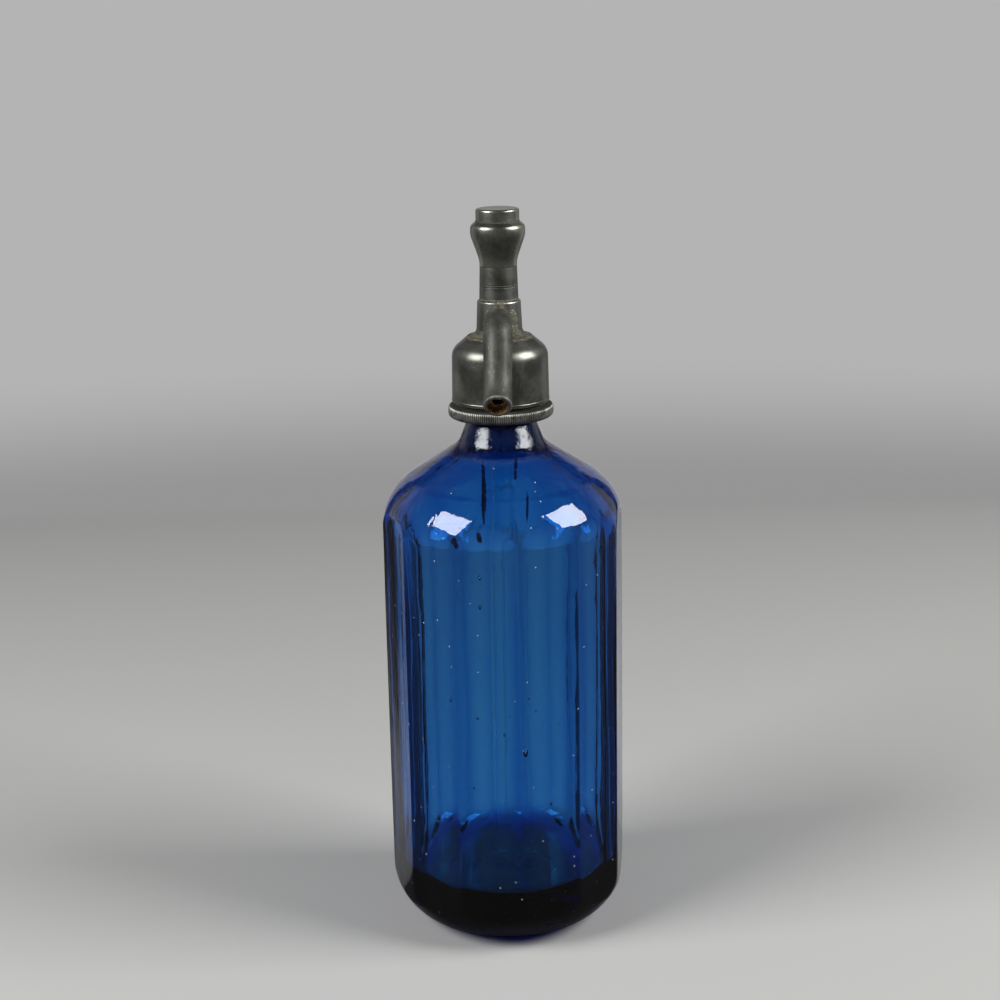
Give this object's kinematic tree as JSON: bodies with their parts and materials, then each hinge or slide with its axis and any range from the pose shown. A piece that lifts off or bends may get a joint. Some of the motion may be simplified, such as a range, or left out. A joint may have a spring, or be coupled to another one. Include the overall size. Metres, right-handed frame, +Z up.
{
  "type": "soda siphon",
  "caption": "Refillable soda siphon: panelled blue glass bottle under a pewter head with a bent spout, knurled collar, screwed tower cap, sprung valve and rear thumb lever.",
  "frame": {"origin": "centre of the flat base on which the bottle stands", "axes": "+Z up along the bottle's axis; the spout points towards -Y and the lever towards +Y; +X is to the right seen from the spout's side"},
  "size_m": [0.0998, 0.1139, 0.303],
  "materials": {
    "blue_glass": "deep cobalt blue glass, polished, thick base",
    "clear_glass": "clear drawn glass tube",
    "pewter": "dark aged pewter, satin, with brown deposits at the joints",
    "brass": "turned, dulled",
    "rubber": "matt black",
    "leather": "pressed, oiled",
    "steel": "dull turned steel",
    "spring_steel": "bright wire"
  },
  "bodies": {
    "siphon_body": {"glass_bottle": "blue_glass", "neck_split_ring_left": "brass", "neck_split_ring_right": "brass", "neck_gasket": "rubber", "head_body": "pewter", "spout_tube": "pewter", "dip_tube": "clear_glass", "dip_tube_bush": "rubber", "valve_seat": "brass", "packing_washer": "brass", "piston_packing": "leather", "tower_sleeve": "pewter", "lever_pin": "steel", "lever_pin_nut": "steel"},
    "collar": {"collar_nut": "pewter"},
    "cap": {"tower_cap": "pewter", "cap_gasket": "rubber", "return_spring": "spring_steel"},
    "valve": {"valve_piston": "brass", "valve_disc": "rubber", "disc_screw": "brass", "spring_plate": "brass"},
    "lever": {"lever": "pewter"}
  },
  "joints": [
    {"name": "lever_press", "type": "hinge", "parent": "siphon_body", "child": "lever", "pos_m": [0, 0.01292, 0.27349], "axis": [-1, 0, 0], "range_deg": [0, 13], "stiffness_Nm_per_rad": 0.5, "springref_deg": -20.05},
    {"name": "valve_lift", "type": "slide", "parent": "siphon_body", "child": "valve", "axis": [0, 0, 1], "range_m": [0, 0.003], "deforming": ["return_spring"]},
    {"name": "collar_turn", "type": "hinge", "parent": "siphon_body", "child": "collar", "pos_m": [0, 0, 0.2213], "axis": [0, 0, 1], "range_deg": [-90, 0]},
    {"name": "cap_turn", "type": "hinge", "parent": "siphon_body", "child": "cap", "pos_m": [0, 0, 0.29], "axis": [0, 0, 1], "range_deg": [0, 90]}
  ],
  "couplings": [
    {"joint": "valve_lift", "follows": "lever_press", "m_per_rad": 0.013}
  ]
}
